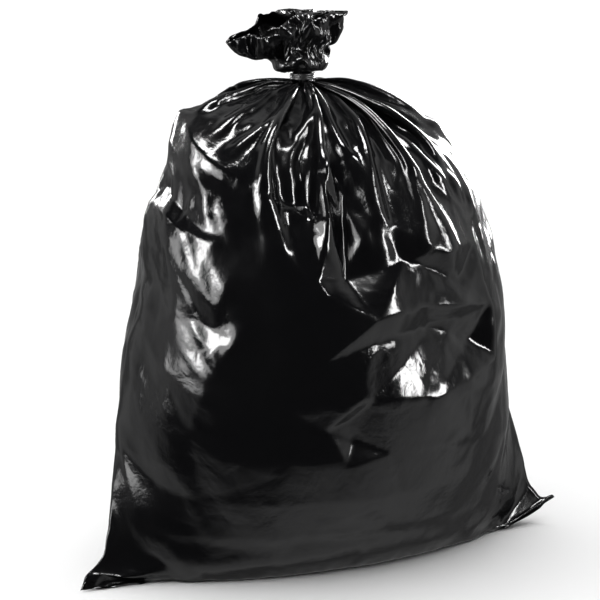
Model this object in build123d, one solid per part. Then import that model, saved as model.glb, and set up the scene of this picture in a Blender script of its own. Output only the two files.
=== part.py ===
"""A filled refuse sack, its neck gathered and tied.

The sack is one tube of thin black film, welded flat along the bottom. It stands on its filled
base, with the two ends of the bottom weld standing out as pointed ears. Above the shoulders the
film is pleated into a narrow neck, bound by a tie, and its open mouth fans out as a ruffle.

Frame: millimetres, +Z up, origin on the floor at the middle of the sack. X runs along the bottom
weld, from the flat ear to the lifted ear. Y runs through the sack from front to back, and the
weld lies in front of the sack's middle.
"""

from build123d import *
from math import cos, pi, sin
import os

# Bottom: the weld's two ears and the flat patch that the filling presses on the floor.
ear_span = 700.0  # from the tip of one ear to the tip of the other
weld_set = -33.0  # the weld's place in front of the sack's middle
base_width = 640.0
base_depth = 176.0
ear_lift = 34.0  # height of the lifted ear's tip
ear_root_height = 84.0
ear_root_depth = 36.0
ear_tip_radius = 2.0
ear_overlap = 40.0  # how far an ear's root reaches into the filled base
ear_rise = 1.0  # how far an ear's root stands off the floor inside the base

# An ear's waist, the section between its root and its tip.
waist_place = 0.3  # share of the way from the base's edge to the tip
waist_height = 0.55  # of the root's height
waist_depth = 0.5  # of the root's depth
waist_lift = 0.35  # share of the tip's lift that the waist has

# Body: three rings of the filled sack, by height, width and depth.
belly_height = 250.0
belly_width = 536.0
belly_depth = 374.0
chest_height = 400.0
chest_width = 490.0
chest_depth = 356.0
chest_lean = 0.15  # share of the neck's shift
shoulder_height = 536.0
shoulder_width = 415.0
shoulder_depth = 264.0

# The rings from the floor to the belly: the share of the belly's height, the share of the way
# from base to belly in width and in depth, how far the two ends are drawn to a point, and the
# share of the weld's offset that the ends have.
foot_rings = (
    (0.0, 0.0, 0.0, 0.95, 1.0),
    (0.12, 0.16, 0.24, 0.8, 0.8),
    (0.28, 0.35, 0.51, 0.6, 0.5),
    (0.6, 0.65, 0.83, 0.25, 0.15),
    (1.0, 1.0, 1.0, 0.05, 0.0),
)

# Neck: where the pleated film is bound. It stands off the middle, towards the flat ear.
neck_height = 642.0  # the middle of the tie
neck_shift = -25.0
neck_radius = 13.0
neck_swell = 2.0  # how far the film stands out past the neck, straight under and over the tie
pleat_count = 18

# The rings from the shoulder to the neck: the share of the rise, the share of the way from the
# shoulder's size to the neck's, the share of the neck's shift, and the pleats' depth as a share
# of the ring's radius.
crown_rings = (
    (0.0, 0.0, 0.6, 0.01),
    (0.27, 0.09, 0.9, 0.015),
    (0.52, 0.24, 1.3, 0.03),
    (0.77, 0.47, 1.4, 0.04),
    (0.93, 0.78, 1.2, 0.03),
    (1.0, 1.0, 1.0, 0.0),
)

# Tie: a thin band wound round the neck, its turns side by side.
tie_turns = 3
tie_thickness = 3.4
tie_clearance = 0.1

# Ruffle: the sack's mouth, fanned out above the tie.
ruffle_height = 92.0
ruffle_radius = 62.0
ruffle_lobes = 5
lobe_depth = 0.42  # of the rim's own radius
ruffle_flare = 1.3  # above 1 the ruffle leaves the neck upright and spreads near its rim
ruffle_levels = (0.0, 0.25, 0.6, 1.0)  # shares of its height
film_wall = 4.0  # the gathered film, measured towards the neck's axis

ring_points = 72
end_reach = 6  # the higher, the less of a ring its moved ends take up

# The film ends a clearance short of the tie, under it and over it.
tie_half = tie_turns * tie_thickness / 2
body_top = neck_height - tie_half - tie_clearance
ruffle_foot = neck_height + tie_half + tie_clearance
collar_radius = neck_radius + neck_swell


def between(low, high, share):
    """The value a share of the way from low to high."""
    return low + share * (high - low)


def ring(height, width, depth, shift=0.0, point=0.0, set_ends=0.0, pleat=0.0):
    """A closed curve round the sack at one height.

    point draws the curve's two X ends to a point: 0 is an ellipse, 1 a lens. set_ends moves the
    two ends along Y. pleat is the depth of its pleats, as a share of the ring's radius.
    """
    corners = []
    for i in range(ring_points):
        turn = 2 * pi * i / ring_points
        swell = 1 + pleat * cos(pleat_count * turn)
        across = width / 2 * swell * cos(turn)
        through = depth / 2 * swell * sin(turn) * abs(sin(turn)) ** point
        through += set_ends * abs(cos(turn)) ** end_reach
        corners.append((shift + across, through, height))
    return Face(Wire([Spline(*corners, periodic=True)]))


def make_body():
    """The filled sack from the floor to the underside of the tie."""
    rings = []
    for rise, width_share, depth_share, point, ends in foot_rings:
        width = between(base_width, belly_width, width_share)
        depth = between(base_depth, belly_depth, depth_share)
        ends = ends * weld_set
        rings.append(ring(rise * belly_height, width, depth, point=point, set_ends=ends))
    rings.append(ring(chest_height, chest_width, chest_depth, shift=chest_lean * neck_shift))
    for rise, narrowing, lean, pleat in crown_rings:
        height = between(shoulder_height, body_top, rise)
        width = between(shoulder_width, 2 * collar_radius, narrowing)
        depth = between(shoulder_depth, 2 * collar_radius, narrowing)
        rings.append(ring(height, width, depth, shift=lean * neck_shift, pleat=pleat))
    return loft(rings)


def make_ear(side, lift):
    """One end of the bottom weld: a flattened cone of film that runs out to a tip."""
    root = (base_width / 2 - ear_overlap, ear_root_height, ear_root_depth, ear_rise)
    waist = (between(base_width / 2, ear_span / 2, waist_place), waist_height * ear_root_height,
             waist_depth * ear_root_depth, between(ear_rise, lift, waist_lift))
    tip = (ear_span / 2, 2 * ear_tip_radius, 2 * ear_tip_radius, lift)
    sections = []
    for reach, height, depth, underside in (root, waist, tip):
        middle = (side * reach, weld_set, underside + height / 2)
        plane = Plane(origin=middle, x_dir=(0, 1, 0), z_dir=(1, 0, 0))
        sections.append(plane * Ellipse(depth / 2, height / 2))
    return loft([section.face() for section in sections])


def ruffle_shell(inset, foot, rim):
    """The fan of lobes above the tie, drawn in by inset towards the neck's axis."""
    faces = []
    for share in ruffle_levels:
        radius = between(collar_radius, ruffle_radius, share**ruffle_flare)
        corners = []
        for i in range(ring_points):
            turn = 2 * pi * i / ring_points
            reach = radius * (1 + lobe_depth * share * cos(ruffle_lobes * turn)) - inset
            corners.append((neck_shift + reach * cos(turn), reach * sin(turn), between(foot, rim, share)))
        faces.append(Face(Wire([Spline(*corners, periodic=True)])))
    return loft(faces)


def make_ruffle():
    """The sack's open mouth: a thin wavy wall round a hollow that closes at the neck."""
    rim = ruffle_foot + ruffle_height
    outside = ruffle_shell(0.0, ruffle_foot, rim)
    inside = ruffle_shell(film_wall, ruffle_foot + film_wall, rim + film_wall)
    return outside - inside


def make_bag():
    """The whole sack as one solid. The neck runs a little way into the body and the ruffle."""
    neck_run = ruffle_foot - body_top + film_wall
    neck = Pos(neck_shift, 0, neck_height) * Cylinder(neck_radius, neck_run)
    flat_ear = make_ear(-1, 0.0)
    lifted_ear = make_ear(1, ear_lift - 2 * ear_tip_radius)
    return make_body() + flat_ear + lifted_ear + neck + make_ruffle()


def make_tie():
    """The tie's turns, lying side by side round the neck with their inner faces flat on it."""
    inner = neck_radius + tie_clearance
    profile = Pos(inner + tie_thickness / 4, 0) * Rectangle(tie_thickness / 2, 2 * tie_half)
    for turn in range(tie_turns):
        level = (turn + 0.5) * tie_thickness - tie_half
        profile += Pos(inner + tie_thickness / 2, level) * Circle(tie_thickness / 2)
    return Pos(neck_shift, 0, neck_height) * revolve(Plane.XZ * profile, Axis.Z)


os.makedirs("parts", exist_ok=True)
for name, shape in {"bag": make_bag(), "neck_tie": make_tie()}.items():
    solids = shape.solids()
    print(name, len(solids), "solid", round(sum(s.volume for s in solids) / 1e6, 3), "litres")
    export_step(shape, f"parts/{name}.step")
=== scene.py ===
"""A filled black refuse sack standing on its base, its neck tied and its mouth fanned out."""

import math

import bmesh
import bpy
import numpy as np
from mathutils import Matrix, Vector
from mathutils.geometry import delaunay_2d_cdt


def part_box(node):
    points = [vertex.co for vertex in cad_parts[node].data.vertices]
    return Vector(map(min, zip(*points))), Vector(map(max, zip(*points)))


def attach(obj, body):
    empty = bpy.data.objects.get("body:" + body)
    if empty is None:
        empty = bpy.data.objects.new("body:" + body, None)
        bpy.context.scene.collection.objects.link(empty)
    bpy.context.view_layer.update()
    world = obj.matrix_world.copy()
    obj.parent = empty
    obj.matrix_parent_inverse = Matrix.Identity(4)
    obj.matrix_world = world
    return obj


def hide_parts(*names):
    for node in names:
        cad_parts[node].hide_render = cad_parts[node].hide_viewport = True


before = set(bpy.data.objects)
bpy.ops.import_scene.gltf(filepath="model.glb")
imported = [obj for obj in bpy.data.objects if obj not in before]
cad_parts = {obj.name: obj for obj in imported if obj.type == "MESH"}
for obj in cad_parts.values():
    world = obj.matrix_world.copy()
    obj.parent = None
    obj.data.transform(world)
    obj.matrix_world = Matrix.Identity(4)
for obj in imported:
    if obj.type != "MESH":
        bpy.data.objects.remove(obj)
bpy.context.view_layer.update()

# ---------------------------------------------------------------------------------------------
# The sack: one tube of black polyethylene film, 737 mm wide laid flat and welded along the
# bottom. It is laid round its contents and relaxed towards its flat lengths, so that it folds.
# Over the full belly it is then laid smooth again, with creases pressed into it.
# ---------------------------------------------------------------------------------------------
flat_width = 0.737
flat_length = 0.990
taken_up = 0.050  # bunched under the tie and turned in at the middle of the ruffle
girth = 2 * flat_width
real = np.float32
neck_x = (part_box("neck_tie")[0].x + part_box("neck_tie")[1].x) / 2
neck_radius = 0.0126
tie_foot = 0.6368  # the height where the film goes in under the tie
under_tie = 0.011  # the film's length under the tie
weld_y = -0.033
ear_reach = 0.350  # from the sack's middle to the tip of an ear
laid_rows, laid_cols = 51, 88  # the film's grid when it is first laid round

# The filled sack from the floor to the tie: height, half width, half depth and lean.
outline = np.array([
    (0.0000, 0.320, 0.088, 0.000), (0.0300, 0.312, 0.112, 0.000), (0.0700, 0.303, 0.138, 0.000),
    (0.1200, 0.292, 0.160, 0.000), (0.1800, 0.280, 0.177, 0.000), (0.2500, 0.268, 0.187, 0.000),
    (0.3200, 0.258, 0.188, 0.000), (0.3900, 0.247, 0.180, -0.005), (0.4500, 0.234, 0.165, -0.008),
    (0.5000, 0.220, 0.145, -0.010), (0.5400, 0.205, 0.130, -0.015), (0.5600, 0.190, 0.115, -0.020),
    (0.5900, 0.160, 0.090, -0.030), (0.6100, 0.120, 0.065, -0.035), (0.6300, 0.065, 0.035, -0.030),
    (tie_foot, neck_radius, neck_radius, neck_x),
])
# The film runs from the weld along the floor to the sack's front edge, and then up.
up_front = np.hypot(np.diff(outline[:, 2]), np.diff(outline[:, 0]))
film_at = outline[0, 2] + np.concatenate([[0], np.cumsum(up_front)])
run = film_at[-1]
# The two side folds stand up from the ears: film length, height and half width.
side_fold = np.array([
    (0.000, 0.0015, ear_reach), (0.060, 0.040, 0.334), (0.120, 0.092, 0.308), (0.200, 0.183, 0.285),
    (0.300, 0.281, 0.268), (0.400, 0.380, 0.250), (0.500, 0.476, 0.230), (0.600, 0.556, 0.190),
    (0.700, 0.607, 0.115), (0.770, 0.626, 0.050), (run, tie_foot, neck_radius),
])
ear_lift = 0.034
round_steps = 1440  # points round the sack from which the columns are spaced


def lens(height):
    """How far the sack's ends are drawn to a point: 1 at the weld, 0 above the belly."""
    return np.interp(height, [0.0, 0.03, 0.07, 0.15, 0.25], [0.95, 0.8, 0.6, 0.25, 0.0])


def section(height, part):
    """The sack's half width (1), half depth (2) or lean (3) at a height."""
    return np.interp(height, outline[:, 0], outline[:, part])


def laid_round(rows, cols):
    """The tube of film laid round the filled sack: row 0 on the weld, columns from the flat ear."""
    length = np.linspace(0, run, rows)
    on_base = np.clip(length / film_at[0], 0, 1)
    height = np.interp(length, film_at, outline[:, 0])
    wide, lean = section(height, 1), section(height, 3)
    wide = wide + (ear_reach - wide) * (1 - on_base)
    deep = np.where(length < film_at[0], np.maximum(0.0015, film_at[0] * on_base), section(height, 2))
    set_forward = weld_y * (1 - on_base)
    fold_height, fold_wide = (np.interp(length, side_fold[:, 0], side_fold[:, k]) for k in (1, 2))
    turn = np.linspace(0, 2 * np.pi, round_steps + 1)
    half = cols // 2
    share = np.arange(half) / half
    film = np.zeros((rows, cols, 3), real)
    for j in range(rows):
        x = -wide[j] * np.cos(turn)
        y = -deep[j] * np.sin(turn) * np.abs(np.sin(turn)) ** lens(height[j])
        far = np.concatenate([[0], np.cumsum(np.hypot(np.diff(x), np.diff(y)))])
        front = far[round_steps // 2]
        want = np.concatenate([share * front, front + share * (far[-1] - front)])
        x, y = np.interp(want, far, x), np.interp(want, far, y)
        end = np.abs(x / wide[j]) ** 8
        to_weld = end * np.interp(height[j], [0.0, 0.10], [1.0, 0.0])
        film[j, :, 0] = x * (1 + end * (fold_wide[j] / wide[j] - 1)) + lean[j]
        film[j, :, 1] = y + set_forward[j] + to_weld * (weld_y - set_forward[j])
        film[j, :, 2] = np.maximum(0.0012, height[j]) + end * (fold_height[j] - height[j])
        lifted = np.clip((film[j, :, 0] - 0.27) / 0.08, 0, 1) * ear_lift
        film[j, :, 2] += lifted * np.interp(length[j], [0.0, 0.12], [1.0, 0.0])
    return film


def facets(rows, cols, cell, stretch, lean, seed, creases=(), deep=((0, 1), (1, 1))):
    """Flat facets about a cell across, as heights over the laid-flat film.

    A crease is a row of corners (round, up, height), and the facets meet along it. The other
    corners are random, as deep as deep says by how far up the film they are.
    """
    chance = np.random.default_rng(seed)
    cos_lean, sin_lean = math.cos(lean), math.sin(lean)
    margin = 2.5 * cell * stretch
    corners = [Vector((u, v)) for crease in creases for u, v, _ in crease]
    heights = [height for crease in creases for _, _, height in crease]
    edges, taken, first = [], [], 0
    for crease in creases:
        edges += [(first + k, first + k + 1) for k in range(len(crease) - 1)]
        first += len(crease)
        for (u0, v0, _), (u1, v1, _) in zip(crease, crease[1:]):
            taken += [(u0 + (u1 - u0) * k / 4, v0 + (v1 - v0) * k / 4) for k in range(5)]
    taken = np.array(taken) if taken else np.full((1, 2), 9.0)
    for v in np.arange(-margin, run + margin, cell * stretch ** 0.5):
        for u in np.arange(0, girth, cell / stretch ** 0.5):
            u_here, v_here = u + chance.uniform(-0.5, 0.5) * cell, v + chance.uniform(-0.5, 0.5) * cell
            height = chance.uniform(-1, 1) * float(np.interp(v_here, *zip(*deep)))
            if np.hypot(taken[:, 0] - u_here, taken[:, 1] - v_here).min() < 0.6 * cell:
                continue
            for wrap in (-girth, 0, girth):
                if -margin < u_here + wrap < girth + margin:
                    corners.append(Vector((u_here + wrap, v_here)))
                    heights.append(height)
    slanted = [Vector((c.x * cos_lean - c.y * sin_lean, (c.x * sin_lean + c.y * cos_lean) / stretch))
               for c in corners]
    points, _, faces, origin, _, _ = delaunay_2d_cdt(slanted, edges, [], 0, 1e-6)
    du, dv = girth / cols, run / (rows - 1)
    places, levels = [], []
    for point, corner in zip(points, origin):
        y = point.y * stretch
        places.append(((point.x * cos_lean + y * sin_lean) / du, (y * cos_lean - point.x * sin_lean) / dv))
        levels.append(heights[corner[0]] if corner else 0.0)
    field = np.zeros((rows, cols))
    for face in faces:
        (x0, y0), (x1, y1), (x2, y2) = (places[k] for k in face)
        h0, h1, h2 = (levels[k] for k in face)
        area = (x1 - x0) * (y2 - y0) - (x2 - x0) * (y1 - y0)
        left, right = max(0, math.ceil(min(x0, x1, x2))), min(cols - 1, math.floor(max(x0, x1, x2)))
        low, high = max(0, math.ceil(min(y0, y1, y2))), min(rows - 1, math.floor(max(y0, y1, y2)))
        if abs(area) < 1e-9 or left > right or low > high:
            continue
        x, y = np.meshgrid(np.arange(left, right + 1), np.arange(low, high + 1))
        a = ((x1 - x) * (y2 - y) - (x2 - x) * (y1 - y)) / area
        b = ((x2 - x) * (y0 - y) - (x0 - x) * (y2 - y)) / area
        inside = (a > -1e-6) & (b > -1e-6) & (a + b < 1 + 1e-6)
        block = field[low:high + 1, left:right + 1]
        block[inside] = (a * h0 + b * h1 + (1 - a - b) * h2)[inside]
    return field.astype(real)


# The creases that the rubbish presses into the sack's front. Each runs from corner to corner:
# how far across and how high in centimetres, and how far out of the smooth sack in millimetres.
pressed = (
    # The left shoulder: its edge, and the broad facet that hangs under it.
    ((-21, 55, 12), (-15, 51, 12), (-6, 48, 12)), ((-20, 52, 4), (-17, 45, 12), (-23, 45, -4)),
    # The crown's facets on either side of the neck's pleats.
    ((-19, 57, 4), (-15, 56, 8), (-12, 59, 0)), ((-13, 53, 8), (-9, 57, -4), (-6, 52, 8)),
    ((3, 59, 4), (6, 53, 8), (12, 52, 6)),
    # A fold that runs down from the neck to one bulging corner, and another that meets it.
    ((-3, 58, 6), (0, 49, 6), (9, 43, 18), (15, 43, 12), (15, 46, 8)), ((11, 50, 4), (9, 43, 18)),
    # The deep hollow under the neck, and the corners along its foot.
    ((-5, 57, -4), (-8, 50, -8), (-8, 41, 8)), ((-3, 50, -12), (-4, 41, -8)),
    ((-7, 39, 10), (-1, 36, 14), (6, 37, 6), (17, 35, 10)), ((4, 43, 2), (12, 39, 2)),
    # The pocket at the right of the belly, and the patch beside it.
    ((8, 34, -10), (15, 31, -8)), ((-1, 33, 2), (-1, 26, 4), (7, 25, 6), (18, 28, 10)),
    # A fold that slants down from the left, and the pinch it ends near.
    ((-23, 41, 8), (-16, 36, 10), (-8, 31, 10), (-3, 26, 8)), ((-4, 23, -4), (-3, 20, -8), (-4, 17, 2)),
    # Slight folds that run into the pinch.
    ((-15, 27, 4), (-7, 22, 0)), ((2, 18, -2), (17, 17, 4)),
    # The left end's corners and pockets.
    ((-23, 32, 4), (-20, 28, 12), (-22, 20, 8), (-24, 15, 8)), ((-27, 22, 6), (-26, 17, 8)),
    # The slight folds that run in from the two ears.
    ((-28, 11, 5), (-21, 12, 2)), ((-27, 7, 6), (-21, 7, 2)), ((23, 6, 4), (23, 15, 6)),
)


def on_film(across, high, out):
    """A place on the sack's front as a place on the laid-flat film, in metres."""
    up = float(np.interp(high / 100, outline[:, 0], film_at))
    half = laid_cols // 2 + 1
    row = smooth[int(round(up / run * (laid_rows - 1))), :half, 0]
    return float(np.interp(across / 100, row, np.arange(half))) * girth / laid_cols, up, out / 1000


smooth = laid_round(laid_rows, laid_cols)
creases = [[on_film(*corner) for corner in crease] for crease in pressed]
# The back has the first of them too, turned half round, a little lower and less deep.
behind_too = 18
creases += [[(u + girth / 2, 0.96 * v, 0.8 * out) for u, v, out in crease]
            for crease in creases[:behind_too]]

# The contents: loose rubbish, lumpy where it pushes the film out and hollow between. It is kept
# as the distance from its middle to its surface, by direction.
middle = 0.300
directions = (192, 384)  # from straight down to straight up, and all round


def contents(slack, lumps, pushes, seed):
    """The contents' surface, slack inside the film: flat-sided lumps and a few pointed pushes."""
    tilt, turn = np.meshgrid(np.linspace(0, np.pi, directions[0]),
                             np.arange(directions[1]) * 2 * np.pi / directions[1], indexing="ij")
    aim = np.stack([np.cos(turn) * np.sin(tilt), np.sin(turn) * np.sin(tilt), -np.cos(tilt)], -1)
    near, far = np.zeros_like(tilt), np.full_like(tilt, 0.52)
    for _ in range(24):
        reach = (near + far) / 2
        x, y, z = np.moveaxis(aim * reach[..., None], -1, 0)
        z = z + middle
        loose = np.interp(z, [0.0, 0.10, 0.30, 0.50], [0.001, 0.003, 0.5 * slack, slack])
        wide = np.minimum(section(z, 1), 0.300) - loose
        across = np.clip(np.abs(x - section(z, 3)) / np.maximum(wide, 1e-6), 0, 1)
        edge = (1 - across**2) ** ((1 + lens(z)) / 2)
        inside = (across < 1) & (np.abs(y) < (section(z, 2) - loose) * edge) & (z > 0) & (z < 0.630)
        near, far = np.where(inside, reach, near), np.where(inside, far, reach)
    surface = aim * near[..., None] + np.array([0, 0, middle])
    calm = np.interp(surface[..., 2], [0.08, 0.30, 0.56, 0.62], [0.05, 1.0, 1.0, 0.2])
    coarse = facets(*directions, 0.105, 1.4, 0.6, seed)
    fine = facets(*directions, 0.050, 1.4, -0.5, seed + 1)
    near = near + lumps * calm * (coarse + 0.45 * fine - 0.3)
    for x, y, z, size, out in pushes:
        away = np.linalg.norm(surface - np.array([x, y, z]), axis=-1)
        near = near + out * np.clip(1 - away / size, 0, 1) ** 1.3
    return near.astype(real)


def pushed_out(film, inside, old, grip):
    """Moves the film out of the contents, which hold what they touch with the given grip."""
    x, y, z = film[..., 0], film[..., 1], film[..., 2] - real(middle)
    reach = np.sqrt(x * x + y * y + z * z)
    across = (np.arctan2(y, x) * real(directions[1] / (2 * np.pi))) % directions[1]
    up = np.arccos(np.clip(-z / reach, -1, 1)) * real((directions[0] - 1) / np.pi)
    c0, r0 = across.astype(np.int32), np.minimum(up.astype(np.int32), directions[0] - 2)
    fx, fy = across - c0, up - r0
    c0 %= directions[1]
    c1 = (c0 + 1) % directions[1]
    low = inside[r0, c0] * (1 - fx) + inside[r0, c1] * fx
    high = inside[r0 + 1, c0] * (1 - fx) + inside[r0 + 1, c1] * fx
    want = low * (1 - fy) + high * fy
    touching = (reach < want)[..., None]
    grow = np.where(reach < want, want / reach, real(1))
    out = np.stack([x * grow, y * grow, z * grow + real(middle)], -1)
    film[:] = np.where(touching, out + real(grip) * (old - film), film)


def drawn_together(low, high, rest, long_share, short_share):
    """What moves each pair of points to its rest length, half at each end."""
    gap = high - low
    far = np.sqrt(gap[..., 0] ** 2 + gap[..., 1] ** 2 + gap[..., 2] ** 2) + real(1e-9)
    over = far - rest
    gap *= (np.where(over > 0, real(long_share), real(short_share)) * over / far * real(0.5))[..., None]
    return gap


def hold_round(film, rest, step, long_share, short_share):
    """Holds the film's length between columns a step apart."""
    rows, cols, _ = film.shape
    pairs = film.reshape(rows, cols // (2 * step), 2 * step, 3)
    low, high = pairs[:, :, :step], pairs[:, :, step:]
    move = drawn_together(low, high, rest, long_share, short_share)
    low += move
    high -= move
    move = drawn_together(high, np.roll(low, -1, 1), rest, long_share, short_share)
    high += move
    low -= np.roll(move, 1, 1)


def hold_up(film, rest, step, long_share, short_share, side=0):
    """Holds the film's length between rows a step apart, straight up or slanting to one side."""
    rows, cols, _ = film.shape
    for start in range(0, 2 * step, step):
        count = (rows - start) // (2 * step)
        if count < 1:
            continue
        pairs = film[start:start + 2 * step * count].reshape(count, 2 * step, cols, 3)
        lengths = rest[start:start + 2 * step * count].reshape(count, 2 * step, 1)[:, :step]
        low, high = pairs[:, :step], pairs[:, step:]
        if side:
            move = drawn_together(low, np.roll(high, -side, 2), lengths, long_share, short_share)
            low += move
            high -= np.roll(move, side, 2)
        else:
            move = drawn_together(low, high, lengths, long_share, short_share)
            low += move
            high -= move


def outward(film):
    """The film's unit normals, pointing out of the sack."""
    round_way = np.roll(film, -1, 1) - np.roll(film, 1, 1)
    up_way = np.gradient(film, axis=0)
    normal = np.cross(round_way, up_way)
    return normal / (np.linalg.norm(normal, axis=-1, keepdims=True) + 1e-9)


def finer(film):
    """The film with twice the columns and twice the rows, on smooth curves."""
    def between(a, b, c, d):
        return (9 * (b + c) - a - d) / real(16)

    rows, cols, _ = film.shape
    wider = np.empty((rows, 2 * cols, 3), real)
    wider[:, 0::2] = film
    wider[:, 1::2] = between(np.roll(film, 1, 1), film, np.roll(film, -1, 1), np.roll(film, -2, 1))
    padded = np.concatenate([2 * wider[:1] - wider[1:2], wider, 2 * wider[-1:] - wider[-2:-1]])
    taller = np.empty((2 * rows - 1, 2 * cols, 3), real)
    taller[0::2] = wider
    taller[1::2] = between(padded[:-3], padded[1:-2], padded[2:-1], padded[3:])
    return taller


def relaxed(film, round_rest, up_rest, steps, sag, bend, held):
    """The film after it has settled to its own lengths, while held puts back what holds it."""
    slant_rest = np.sqrt(round_rest**2 + up_rest**2).astype(real)
    round_rest, up_rest = round_rest[:, None, None].astype(real), up_rest.astype(real)
    step = real(up_rest[0])
    old = film.copy()
    for _ in range(steps):
        drift = (film - old) * real(0.9)
        drift *= np.minimum(1, 0.4 * step / (np.linalg.norm(drift, axis=-1, keepdims=True) + real(1e-9)))
        old = film.copy()
        film = film + drift
        film[..., 2] -= real(sag) * step
        for _ in range(2):
            hold_round(film, round_rest, 1, 1.0, short_share)
            hold_up(film, up_rest, 1, 1.0, short_share)
        hold_up(film, slant_rest, 1, 0.5, 0.1, side=1)
        hold_up(film, slant_rest, 1, 0.5, 0.1, side=-1)
        hold_round(film, round_rest * real(1.9), 2, 0.0, bend)
        hold_up(film, up_rest * real(1.9), 2, 0.0, bend)
        held(film, old)
    return film


short_share = 0.5  # how firmly film that is bunched up is spread out again
excess = 0.04  # how much longer than its flat length the roughest film is let go
grip = 0.9  # how firmly the contents hold the film that touches them

# What pokes the film out at the shoulders and behind: place, size and depth.
pushes = (
    (-0.220, -0.010, 0.550, 0.110, 0.026), (0.150, -0.060, 0.550, 0.080, 0.014),
    (0.060, 0.160, 0.440, 0.080, 0.014), (-0.110, 0.150, 0.400, 0.090, 0.014),
    (0.180, 0.120, 0.330, 0.080, 0.012), (-0.050, 0.180, 0.300, 0.090, 0.012),
)
rubbish = contents(0.006, 0.010, pushes, 3)

film = laid_round(laid_rows, laid_cols)
# Each level of detail: the facets' size, their depth and the steps of settling.
levels = ((0.085, 0.012, 250), (0.060, 0.006, 120), (0.030, 0.0022, 0))
for number, (cell, depth, steps) in enumerate(levels):
    rows, cols, _ = film.shape
    length = np.linspace(0, run, rows)
    rough = np.interp(length, [0.10, 0.28, 0.42, 0.60, 0.78, run], [0.10, 0.25, 0.9, 1.0, 0.5, 0.0])
    folds = facets(rows, cols, cell, 1.5, 0.5, 20 + number) + facets(rows, cols, cell, 1.5, -0.6, 40 + number)
    relief = depth * rough[:, None] * folds
    laid = laid_round(rows, cols)
    relief = relief * np.clip(np.abs(laid[..., 0] + 0.02) / 0.16, 0.35, 1)
    if number == len(levels) - 1:
        # Where the rubbish fills the film, it lies flat between the creases pressed into it.
        loose = np.interp(length, [0.02, 0.16, 0.52, 0.70], [0.4, 0.08, 0.08, 1.0])[:, None, None]
        film = laid + loose * (film - laid)
        deep = ((0.05, 0.001), (0.2, 0.002), (0.35, 0.006), (0.6, 0.008), (0.75, 0.004), (run, 0))
        relief = relief + 1.25 * facets(rows, cols, 0.075, 1.2, 0.3, 7, creases, deep)
    film = film + relief[..., None].astype(real) * outward(laid).astype(real)

    # Near the neck a pleat's hidden inner plies are left out, so the film there counts as shorter.
    height = np.interp(length, film_at, outline[:, 0])
    outer_plies = np.interp(height, [0.36, 0.42, 0.54, 0.60, 0.63], [1.3, 1.06, 1.06, 1.35, 1.7])
    drawn_in = outer_plies * 2 * np.pi * np.sqrt((section(height, 1) ** 2 + section(height, 2) ** 2) / 2)
    round_rest = np.where(length > 0.4, np.minimum(girth, drawn_in), girth) / cols * (1 + excess * rough)
    up_spare = np.interp(length, [0.20, 0.34, 0.62, 0.74], [1.0, 1.04, 1.04, 1.02])
    up_rest = run / (rows - 1) * up_spare * (1 + excess * rough)
    floor_rows = int(round(0.070 / run * (rows - 1))) + 1
    on_floor = (np.abs(film[:floor_rows, :, 0]) < 0.27)[..., None]
    base, neck, half = film[:floor_rows].copy(), film[-1].copy(), cols // 2
    ear_rows = max(2, rows // 25)
    ear_cols = [k % cols for centre in (0, half) for k in range(centre - cols // 88, centre + cols // 88 + 1)]
    ears = film[:ear_rows, ear_cols].copy()

    def held_by_contents(film, old):
        """The contents, the floor, the weld, the tie and the two ears' tips hold the film."""
        pushed_out(film, rubbish, old, grip)
        film[..., 2] = np.maximum(film[..., 2], real(0.0006))
        weld = (film[0, 1:half] + film[0, :half:-1]) / 2
        film[0, 1:half] = weld
        film[0, :half:-1] = weld
        film[:floor_rows] = np.where(on_floor, base, film[:floor_rows])
        film[-1] = neck
        film[:ear_rows, ear_cols] = ears

    film = relaxed(film, round_rest, up_rest, steps, 0.002, 0.3, held_by_contents)
    if number < len(levels) - 1:
        film = finer(film)

# The mouth: the last of the tube, above the tie, pulled out by hand into seven lobes. Each has its
# direction, half its spread, its reach, its rise, and where the film folds in before it.
tie_top = 0.6473
mouth_run = flat_length - run - under_tie - taken_up
mouth_rise = 0.078  # no part of the mouth stands higher over the tie
opened_girth = 0.60  # round the mouth's rim, as far as it is opened
lobes = (
    (212, 16, 0.058, 0.018, 196),
    (242, 12, 0.036, 0.070, 230),
    (284, 10, 0.030, 0.074, 272),
    (336, 10, 0.064, 0.066, 304),
    (398, 20, 0.030, 0.070, 348),
    (450, 22, 0.034, 0.070, 408),
    (526, 10, 0.102, 0.038, 470),
)
mouth_rows = 9
cols = laid_cols
turn = 180 + 360 * np.arange(cols) / cols
mouth = np.zeros((mouth_rows + 1, cols, 3), real)
rise_share = np.linspace(0, 1, mouth_rows + 1)[:, None]
starts = [lobe[4] for lobe in lobes] + [lobes[0][4] + 360]
turn = np.where(turn < starts[0], turn + 360, turn)
for (aim, spread_half, reach, rise, _), start, end in zip(lobes, starts, starts[1:]):
    mine = (turn >= start) & (turn < end)
    across = (turn[mine] - start) / (end - start) * 2 - 1
    out = neck_radius + (reach * (1 - 0.8 * np.abs(across) ** 2) - neck_radius) * rise_share**0.8
    heading = np.radians(turn[mine] + (aim + spread_half * across - turn[mine]) * rise_share**0.5)
    mouth[:, mine, 0] = neck_x + out * np.cos(heading)
    mouth[:, mine, 1] = out * np.sin(heading)
    mouth[:, mine, 2] = tie_top + rise * (1 - 0.25 * across**2) * rise_share
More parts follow.
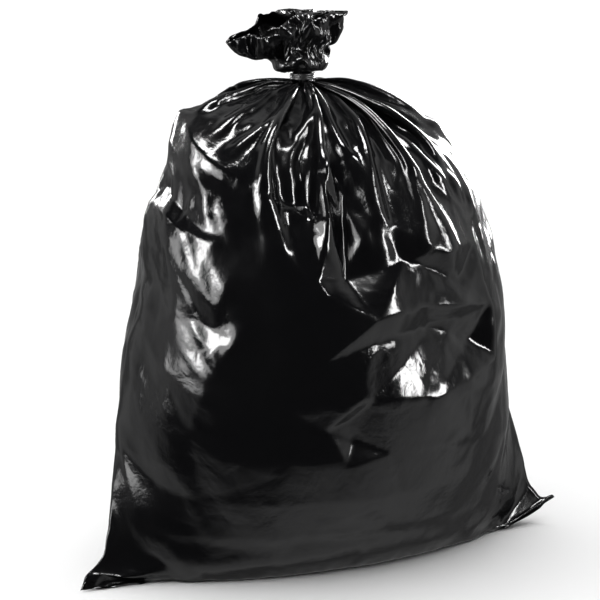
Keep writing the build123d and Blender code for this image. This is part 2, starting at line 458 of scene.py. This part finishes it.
for number in range(len(levels)):
    rows, cols, _ = mouth.shape
    share = np.linspace(0, 1, rows)
    cell, depth = ((0.045, 0.006), (0.022, 0.003), (0.011, 0.001))[number]
    crumple = facets(201, cols, cell, 1.3, 0.4, 60 + number)[60:60 + rows]
    mouth = mouth + (depth * np.minimum(1, 2 * share)[:, None] * crumple)[..., None] * outward(mouth)
    mouth = mouth.astype(real)
    foot = mouth[0].copy()

    def held_by_tie(mouth, old):
        """The tie holds the mouth's foot, and the sack's shoulders keep it from sinking."""
        mouth[0] = foot
        mouth[1:, :, 2] = np.clip(mouth[1:, :, 2], real(tie_top + 0.001), real(tie_top + mouth_rise))

    around = 2 * np.pi * neck_radius * 1.3 * (1 - share) + opened_girth * share
    mouth = relaxed(mouth, around / cols, np.full(rows, mouth_run / (rows - 1)), (12, 8, 6)[number],
                    0.002, 0.4, held_by_tie)
    if number < len(levels) - 1:
        mouth = finer(mouth)

# One closed skin: up the body, up the mouth's outside, over its rim and down its inside.
lining_gap = 0.0007
lining = mouth - lining_gap * outward(mouth)
skin = np.concatenate([film, mouth, lining[::-1]])
rows, cols, _ = skin.shape
mesh = bmesh.new()
bmesh.ops.create_grid(mesh, x_segments=cols, y_segments=rows - 1, size=1)
mesh.verts.ensure_lookup_table()
places = np.concatenate([skin, skin[:, :1]], axis=1).reshape(-1, 3).tolist()
for vert, place in zip(mesh.verts, places):
    vert.co = place
bmesh.ops.remove_doubles(mesh, verts=mesh.verts[:cols + 1], dist=1e-6)
mesh.verts.ensure_lookup_table()
bmesh.ops.remove_doubles(mesh, verts=mesh.verts, dist=1e-7)
open_edges = [edge for edge in mesh.edges if edge.is_boundary]
bmesh.ops.contextual_create(mesh, geom=open_edges)
bmesh.ops.recalc_face_normals(mesh, faces=mesh.faces)
for face in mesh.faces:
    face.smooth = True
sack = bpy.data.objects.new("sack_film", bpy.data.meshes.new("sack_film"))
mesh.to_mesh(sack.data)
mesh.free()
bpy.context.collection.objects.link(sack)

film_black = bpy.data.materials.new("black_polyethylene_film")
film_black.use_nodes = True
nodes, links = film_black.node_tree.nodes, film_black.node_tree.links
shader = nodes["Principled BSDF"]
shader.inputs["Base Color"].default_value = (0.004, 0.004, 0.0045, 1)
shader.inputs["IOR"].default_value = 1.5
shader.inputs["Specular IOR Level"].default_value = 0.22
place = nodes.new("ShaderNodeTexCoord")


def noise(scale, detail, roughness=0.5, distortion=0.0):
    """A noise pattern on the piece's own coordinates."""
    pattern = nodes.new("ShaderNodeTexNoise")
    pattern.inputs["Scale"].default_value = scale
    pattern.inputs["Detail"].default_value = detail
    pattern.inputs["Roughness"].default_value = roughness
    pattern.inputs["Distortion"].default_value = distortion
    links.new(place.outputs["Object"], pattern.inputs["Vector"])
    return pattern.outputs["Fac"]


def ranged(value, low, high, to_low, to_high):
    """The value carried from one range to another."""
    scale = nodes.new("ShaderNodeMapRange")
    for name, number in (("From Min", low), ("From Max", high), ("To Min", to_low), ("To Max", to_high)):
        scale.inputs[name].default_value = number
    links.new(value, scale.inputs["Value"])
    return scale.outputs["Result"]


links.new(ranged(noise(9, 3), 0.35, 0.7, 0.10, 0.22), shader.inputs["Roughness"])
buckles = nodes.new("ShaderNodeBump")
buckles.inputs["Distance"].default_value = 0.0022
buckles.inputs["Strength"].default_value = 0.5
links.new(noise(26, 2, 0.45, 0.7), buckles.inputs["Height"])
crinkle = nodes.new("ShaderNodeBump")
crinkle.inputs["Distance"].default_value = 0.00035
links.new(ranged(noise(7, 2), 0.42, 0.62, 0.10, 1.0), crinkle.inputs["Strength"])
links.new(noise(110, 3, 0.55, 1.0), crinkle.inputs["Height"])
links.new(buckles.outputs["Normal"], crinkle.inputs["Normal"])
links.new(crinkle.outputs["Normal"], shader.inputs["Normal"])
sack.data.materials.append(film_black)
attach(sack, "root")
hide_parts("bag")

# ---------------------------------------------------------------------------------------------
# The tie: nearly three turns of soft black cord wound round the neck, one on top of the other,
# with no loose ends.
# ---------------------------------------------------------------------------------------------
tie_low, tie_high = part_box("neck_tie")
cord_radius = (tie_high.z - tie_low.z) / 6.4
winding_radius = (tie_high.x - tie_low.x) / 2 - cord_radius
turns = 2.75
mesh = bmesh.new()
ring = bmesh.ops.create_circle(mesh, segments=12, radius=cord_radius)["verts"]
bmesh.ops.rotate(mesh, verts=ring, cent=(0, 0, 0), matrix=Matrix.Rotation(math.pi / 2, 3, "X"))
bmesh.ops.translate(mesh, verts=ring, vec=(winding_radius, 0, tie_low.z + cord_radius))
steps = 132
bmesh.ops.spin(mesh, geom=ring + list(mesh.edges), cent=(0, 0, 0), axis=(0, 0, 1), angle=turns * 2 * math.pi,
               dvec=(0, 0, (tie_high.z - tie_low.z - 2 * cord_radius) / steps), steps=steps)
bmesh.ops.contextual_create(mesh, geom=[edge for edge in mesh.edges if edge.is_boundary][:12])
bmesh.ops.contextual_create(mesh, geom=[edge for edge in mesh.edges if edge.is_boundary])
bmesh.ops.rotate(mesh, verts=mesh.verts, cent=(0, 0, 0), matrix=Matrix.Rotation(1.2, 3, "Z"))
bmesh.ops.translate(mesh, verts=mesh.verts, vec=(neck_x, 0, 0))
bmesh.ops.recalc_face_normals(mesh, faces=mesh.faces)
for face in mesh.faces:
    face.smooth = len(face.verts) == 4
tie = bpy.data.objects.new("neck_tie_cord", bpy.data.meshes.new("neck_tie_cord"))
mesh.to_mesh(tie.data)
mesh.free()
bpy.context.collection.objects.link(tie)
tie_black = bpy.data.materials.new("black_tie")
tie_black.use_nodes = True
nodes, links = tie_black.node_tree.nodes, tie_black.node_tree.links
shader = nodes["Principled BSDF"]
shader.inputs["Base Color"].default_value = (0.008, 0.008, 0.009, 1)
place = nodes.new("ShaderNodeTexCoord")
links.new(ranged(noise(300, 2), 0.3, 0.7, 0.3, 0.5), shader.inputs["Roughness"])
ridges = nodes.new("ShaderNodeBump")
ridges.inputs["Distance"].default_value = 0.0003
links.new(noise(900, 2), ridges.inputs["Height"])
links.new(ridges.outputs["Normal"], shader.inputs["Normal"])
tie.data.materials.append(tie_black)
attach(tie, "root")
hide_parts("neck_tie")

# ---------------------------------------------------------------------------------------------
# The studio: a white floor under one broad high light, in a room that is dark behind the camera.
# Softboxes at the left, at the right, overhead and behind give the film its gloss.
# ---------------------------------------------------------------------------------------------
mesh = bmesh.new()
bmesh.ops.create_grid(mesh, x_segments=1, y_segments=1, size=30)
floor = bpy.data.objects.new("floor", bpy.data.meshes.new("floor"))
mesh.to_mesh(floor.data)
mesh.free()
bpy.context.collection.objects.link(floor)
floor_white = bpy.data.materials.new("white_floor")
floor_white.use_nodes = True
nodes, links = floor_white.node_tree.nodes, floor_white.node_tree.links
nodes["Principled BSDF"].inputs["Base Color"].default_value = (0.80, 0.80, 0.80, 1)
nodes["Principled BSDF"].inputs["Specular IOR Level"].default_value = 0.0
nodes["Principled BSDF"].inputs["Roughness"].default_value = 0.8
floor.data.materials.append(floor_white)
floor.visible_glossy = False

azimuth, elevation = math.radians(-24), math.radians(12)
towards = Vector((math.sin(azimuth) * math.cos(elevation), -math.cos(azimuth) * math.cos(elevation),
                  math.sin(elevation)))
room = bpy.data.worlds.new("studio")
bpy.context.scene.world = room
room.use_nodes = True
nodes, links = room.node_tree.nodes, room.node_tree.links
heading = nodes.new("ShaderNodeTexCoord")
behind = nodes.new("ShaderNodeVectorMath")
behind.operation = "DOT_PRODUCT"
behind.inputs[1].default_value = (math.sin(azimuth), -math.cos(azimuth), 0.45)
links.new(heading.outputs["Generated"], behind.inputs[0])
walls = nodes.new("ShaderNodeValToRGB")
walls.color_ramp.elements[0].position = 0.22
walls.color_ramp.elements[0].color = (0.25, 0.25, 0.25, 1)
walls.color_ramp.elements[1].position = 0.70
walls.color_ramp.elements[1].color = (0.012, 0.012, 0.013, 1)
for share in (0.32, 0.54):
    walls.color_ramp.elements.new(share).color = (1, 1, 1, 1)
half_turn = nodes.new("ShaderNodeMath")
half_turn.operation = "MULTIPLY_ADD"
half_turn.inputs[1].default_value = 0.5
half_turn.inputs[2].default_value = 0.5
links.new(behind.outputs["Value"], half_turn.inputs[0])
links.new(half_turn.outputs["Value"], walls.inputs["Fac"])
links.new(walls.outputs["Color"], nodes["Background"].inputs["Color"])
nodes["Background"].inputs["Strength"].default_value = 1.1

sky = bpy.data.lights.new("high_light", "SUN")
sky.energy, sky.angle = 3.2, math.radians(70)
high_light = bpy.data.objects.new("high_light", sky)
high_light.rotation_euler = (math.radians(8), math.radians(-14), 0)
high_light.visible_glossy = False
bpy.context.collection.objects.link(high_light)

softboxes = (
    ("left", (-2.3, -0.55, 0.85), (0, 0, 0.35), 1.5, 1.6, 95),
    ("left_core", (-2.2, -0.60, 0.95), (0, 0, 0.35), 0.45, 0.8, 60),
    ("right", (1.5, -1.9, 1.0), (0, 0, 0.35), 0.30, 1.6, 110),
    ("overhead", (-0.3, -0.9, 2.5), (0, 0, 0.4), 1.2, 0.5, 150),
    ("behind_right", (1.9, 1.3, 1.1), (0, 0, 0.35), 0.9, 1.4, 130),
    ("behind_left", (-1.1, 2.2, 1.4), (0, 0, 0.35), 0.4, 1.3, 90),
)
for name, at, aim, width, height, power in softboxes:
    light = bpy.data.lights.new(name, "AREA")
    light.shape = "RECTANGLE"
    light.size, light.size_y, light.energy = width, height, power
    box = bpy.data.objects.new(name, light)
    box.location = at
    box.rotation_euler = (Vector(aim) - Vector(at)).to_track_quat("-Z", "Y").to_euler()
    box.visible_diffuse = False
    box.visible_camera = False
    bpy.context.collection.objects.link(box)

lens_data = bpy.data.cameras.new("camera")
lens_data.lens = 120
camera = bpy.data.objects.new("camera", lens_data)
camera.location = Vector((-0.043, weld_y, 0.355)) + towards * 2.6
camera.rotation_euler = towards.to_track_quat("Z", "Y").to_euler()
bpy.context.collection.objects.link(camera)
bpy.context.scene.camera = camera
bpy.context.scene.view_settings.view_transform = "Standard"
